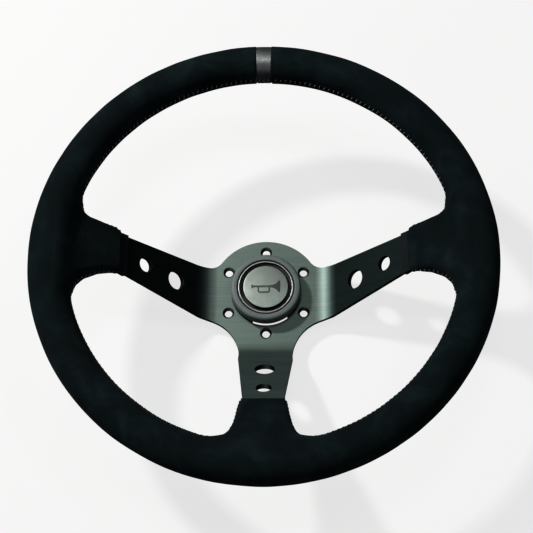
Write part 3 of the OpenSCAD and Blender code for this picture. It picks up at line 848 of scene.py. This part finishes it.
def softened(name, node, width):
    """A copy of a CAD node's mesh with its sharp edges rounded off."""
    mesh = NODES[node].data.copy()
    mesh.name = name
    o = bpy.data.objects.new(name, mesh)
    bpy.context.scene.collection.objects.link(o)
    bm = bmesh.new()
    bm.from_mesh(mesh)
    bmesh.ops.remove_doubles(bm, verts=bm.verts, dist=2e-6)
    bmesh.ops.dissolve_limit(bm, angle_limit=math.radians(0.8), verts=bm.verts, edges=bm.edges)
    ease_bends(bm)
    bm.to_mesh(mesh)
    bm.free()
    m = o.modifiers.new("soft", "BEVEL")
    m.width = width * MM
    m.segments = 3
    m.limit_method = "ANGLE"
    m.angle_limit = math.radians(32)
    m.use_clamp_overlap = True
    m.harden_normals = False
    depsgraph = bpy.context.evaluated_depsgraph_get()
    done = bpy.data.meshes.new_from_object(o.evaluated_get(depsgraph))
    o.modifiers.clear()
    o.data = done
    shade_smooth(done)
    w = o.modifiers.new("weighted", "WEIGHTED_NORMAL")
    w.keep_sharp = True
    return o


plate = softened("spoke_plate_softened", "spoke_plate", 0.35)
dressed(plate, PLATE, "wheel", ("spoke_plate",))


# ---------------------------------------------------------------- horn push
def rounded(points, radii, n=6):
    """An open line of (r, z) points with each inner corner rounded to its radius."""
    out = [np.array(points[0], float)]
    for k, r in enumerate(radii, 1):
        before, b, after = (np.array(q, float) for q in points[k - 1 : k + 2])
        u, v = (before - b) / np.linalg.norm(before - b), (after - b) / np.linalg.norm(after - b)
        half = math.acos(max(-1, min(1, float(u @ v)))) / 2
        middle = (u + v) / np.linalg.norm(u + v)
        centre = b + middle * r / math.sin(half)
        start = b + u * r / math.tan(half) - centre
        turn = math.pi - 2 * half
        sign = 1 if u[0] * v[1] - u[1] * v[0] < 0 else -1
        for i in range(n + 1):
            c, s = math.cos(sign * turn * i / n), math.sin(sign * turn * i / n)
            out.append(centre + [start[0] * c - start[1] * s, start[0] * s + start[1] * c])
    out.append(np.array(points[-1], float))
    return np.array(out)


def lathe(name, profile, segments=192):
    """Closed ring, or a solid turned piece where the profile starts and ends on the axis."""
    solid = profile[0][0] < 1e-6
    body = profile[1:-1] if solid else profile
    a = np.arange(segments) * 2 * math.pi / segments
    p = np.stack(
        [body[:, None, 0] * np.cos(a), body[:, None, 0] * np.sin(a), body[:, None, 1] + 0 * a], -1
    ).reshape(-1, 3)
    faces = [list(f) for f in grid_faces(len(body), segments, wrap=True)]
    base = (len(body) - 1) * segments
    if solid:
        p = np.concatenate([p, [[0, 0, profile[0][1]], [0, 0, profile[-1][1]]]])
        first, last = len(p) - 2, len(p) - 1
        for j in range(segments):
            k = (j + 1) % segments
            faces.append([first, k, j])
            faces.append([last, base + j, base + k])
    else:
        for j in range(segments):
            k = (j + 1) % segments
            faces.append([base + j, base + k, k, j])
    o = new_object(name, p, faces)
    bm = bmesh.new()
    bm.from_mesh(o.data)
    bmesh.ops.recalc_face_normals(bm, faces=bm.faces)
    bm.to_mesh(o.data)
    bm.free()
    return o


BEZEL_LINE = rounded(
    [
        (23.05, 14.6), (23.05, 17.5), (28.2, 17.45), (28.2, 8.2),
        (27.5, 7.4), (25.95, 7.4), (25.95, 14.6), (24.4, 14.6),
    ],
    [0.8, 2.4, 0.5, 0.25, 0.15, 0.1],
)
dressed(lathe("horn_bezel_turned", BEZEL_LINE), BEZEL, "wheel", ("horn_bezel",))
LIP_LINE = rounded(
    [(20.9, 14.6), (20.9, 17.25), (21.9, 17.25), (22.9, 16.1), (22.9, 14.6), (22.0, 14.6)],
    [0.45, 0.4, 0.2, 0.1],
    8,
)
dressed(lathe("horn_lip_turned", LIP_LINE), GLOSS, "wheel", ("horn_lip",))

DISC_R, DISC_TOP, DISC_BACK = 18.1, 18.1, 16.6
DOME, DOME_R = 0.6, 17.6  # how far the disc falls from its middle, and at what radius


def disc_height(r):
    return DISC_TOP - DOME * (np.asarray(r) / DOME_R) ** 2


def horn_disc():
    r = np.r_[0.0, np.linspace(0.6, 17.0, 28)]
    top = np.stack([r, disc_height(r)], 1)
    corners = [tuple(top[-1]), (DISC_R, disc_height(DISC_R)), (DISC_R, DISC_BACK), (0, DISC_BACK)]
    edge = rounded(corners, [0.5, 0.1], 7)
    return lathe("horn_disc_domed", np.concatenate([top, edge[1:]]))


def sign_outline():
    """A plain bugle seen from the side, with the opening of its loop."""
    upper = [(-11.5, 1.6), (-10.4, 1.6), (-10, 0.75), (3, 0.75), (6, 1.3), (8.5, 2.6), (10.5, 5), (11.3, 5)]
    front = [(11.7, 2.5), (11.8, 0), (11.7, -2.5)]
    lower = [(11.3, -5), (10.5, -5), (8.5, -2.6), (6, -1.3), (3.5, -0.8)]
    loop = [(3.5, -4.2), (2.1, -5.6), (-5.1, -5.6), (-6.5, -4.2), (-6.5, -0.75)]
    mouthpiece = [(-10, -0.75), (-10.4, -1.6), (-11.5, -1.6)]
    opening = [(-5.3, -0.85), (2.3, -0.85), (2.3, -3.9), (1.8, -4.4), (-4.8, -4.4), (-5.3, -3.9)]
    return [upper + front + lower + loop + mouthpiece, opening]


def horn_sign():
    """The sign as a thin plate with soft edges, lying on the disc's dome."""
    curve = bpy.data.curves.new("horn_sign", "CURVE")
    curve.dimensions = "2D"
    curve.fill_mode = "BOTH"
    for line in sign_outline():
        spline = curve.splines.new("POLY")
        spline.points.add(len(line) - 1)
        for q, (x, y) in zip(spline.points, line):
            q.co = (x, y, 0, 1)
        spline.use_cyclic_u = True
    curve.extrude = 0.12
    curve.bevel_depth = 0.1
    curve.bevel_resolution = 2
    curve.offset = -0.1
    o = bpy.data.objects.new("horn_sign_curve", curve)
    bpy.context.scene.collection.objects.link(o)
    mesh = bpy.data.meshes.new_from_object(o.evaluated_get(bpy.context.evaluated_depsgraph_get()))
    bpy.data.objects.remove(o)
    co = np.array([v.co for v in mesh.vertices])
    co[:, 2] += disc_height(np.hypot(co[:, 0], co[:, 1])) - 0.04
    mesh.vertices.foreach_set("co", (co * MM).ravel())
    bm = bmesh.new()
    bm.from_mesh(mesh)
    bmesh.ops.remove_doubles(bm, verts=bm.verts, dist=2e-6)
    bmesh.ops.recalc_face_normals(bm, faces=bm.faces)
    bm.to_mesh(mesh)
    bm.free()
    return bpy.data.objects.new("horn_sign", mesh)


dressed(horn_disc(), DISC, "horn_push", ("horn_disc",))
sign = horn_sign()
bpy.context.scene.collection.objects.link(sign)
dressed(sign, SIGN, "horn_push")


def return_coil():
    """The spring under the push, as a copy of the CAD spring with a mesh of its own."""
    coil = bpy.data.objects.new("return_coil", NODES["return_spring"].data.copy())
    bpy.context.scene.collection.objects.link(coil)
    shade_smooth(coil.data)
    dressed(coil, SPRING, "wheel", ("return_spring",))
    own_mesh(coil)


return_coil()


# ---------------------------------------------------------------- floor, light and camera
def stage():
    mesh = bpy.data.meshes.new("floor")
    corners = [(x, y, CAD_BOX[0][2]) for x, y in ((-6, -6), (6, -6), (6, 6), (-6, 6))]
    mesh.from_pydata(corners, [], [(0, 1, 2, 3)])
    floor = bpy.data.objects.new("floor", mesh)
    bpy.context.scene.collection.objects.link(floor)
    m = material(
        "floor", (0.06, 0.06, 0.06), 0.9,
        Specular_IOR_Level=0.0, Emission_Color=(1.0, 1.0, 1.0, 1), Emission_Strength=0.80,
    )
    floor.data.materials.append(m)
    floor.visible_glossy = False


def area(name, place, target, size, power, color=(1, 1, 1)):
    light = bpy.data.lights.new(name, "AREA")
    light.shape = "SQUARE"
    light.size = size
    light.energy = power
    light.color = color
    o = bpy.data.objects.new(name, light)
    o.location = place
    o.rotation_euler = (Vector(target) - Vector(place)).to_track_quat("-Z", "Y").to_euler()
    bpy.context.scene.collection.objects.link(o)


stage()
area("key", (-1.2, 0.9, 1.6), (0, 0, 0), 0.2, 114, (1.0, 0.985, 0.96))
area("second", (0.8, 0.22, 2.0), (0, 0, 0), 0.25, 7, (0.93, 0.97, 1.0))
area("overhead", (-0.06, 0.24, 2.0), (0, 0, 0), 0.4, 11, (0.93, 1.0, 0.97))
area("front", (-0.5, -1.2, 1.3), (0, 0, 0), 0.9, 5)


def studio():
    """Pale where the camera looks past the floor; dark near the horizon for the reflections."""
    world = bpy.data.worlds.new("studio")
    world.use_nodes = True
    tree = world.node_tree
    background = tree.nodes["Background"]
    coords = tree.nodes.new("ShaderNodeTexCoord")
    split = tree.nodes.new("ShaderNodeSeparateXYZ")
    tree.links.new(coords.outputs["Generated"], split.inputs["Vector"])
    ramp = tree.nodes.new("ShaderNodeValToRGB")
    stops = [(0.0, 0.02), (0.25, 0.03), (0.6, 0.05), (1.0, 0.06)]
    while len(ramp.color_ramp.elements) < len(stops):
        ramp.color_ramp.elements.new(0.5)
    for e, (at, level) in zip(ramp.color_ramp.elements, stops):
        e.position, e.color = at, (level, level, level, 1)
    tree.links.new(split.outputs["Z"], ramp.inputs["Fac"])
    path = tree.nodes.new("ShaderNodeLightPath")
    mix = tree.nodes.new("ShaderNodeMix")
    mix.data_type = "RGBA"
    tree.links.new(path.outputs["Is Camera Ray"], mix.inputs["Factor"])
    tree.links.new(ramp.outputs["Color"], mix.inputs["A"])
    mix.inputs["B"].default_value = (0.9, 0.92, 0.93, 1)
    tree.links.new(mix.outputs["Result"], background.inputs["Color"])
    bpy.context.scene.world = world


studio()
bpy.context.scene.view_settings.view_transform = "Standard"
bpy.context.scene.view_settings.gamma = 0.75

camera = bpy.data.cameras.new("camera")
camera.lens = 78.44
camera.sensor_width = 36
camera.clip_end = 20
eye = bpy.data.objects.new("camera", camera)
bpy.context.scene.collection.objects.link(eye)
right, up, back = (0.99958, 0.00538, -0.02911), (0.0060, 0.9261, 0.3772), (0.0290, -0.3772, 0.9256)
at = (0.02769, -0.33567, 0.88364)
eye.matrix_world = Matrix([[right[k], up[k], back[k], at[k]] for k in range(3)] + [[0, 0, 0, 1]])
bpy.context.scene.camera = eye
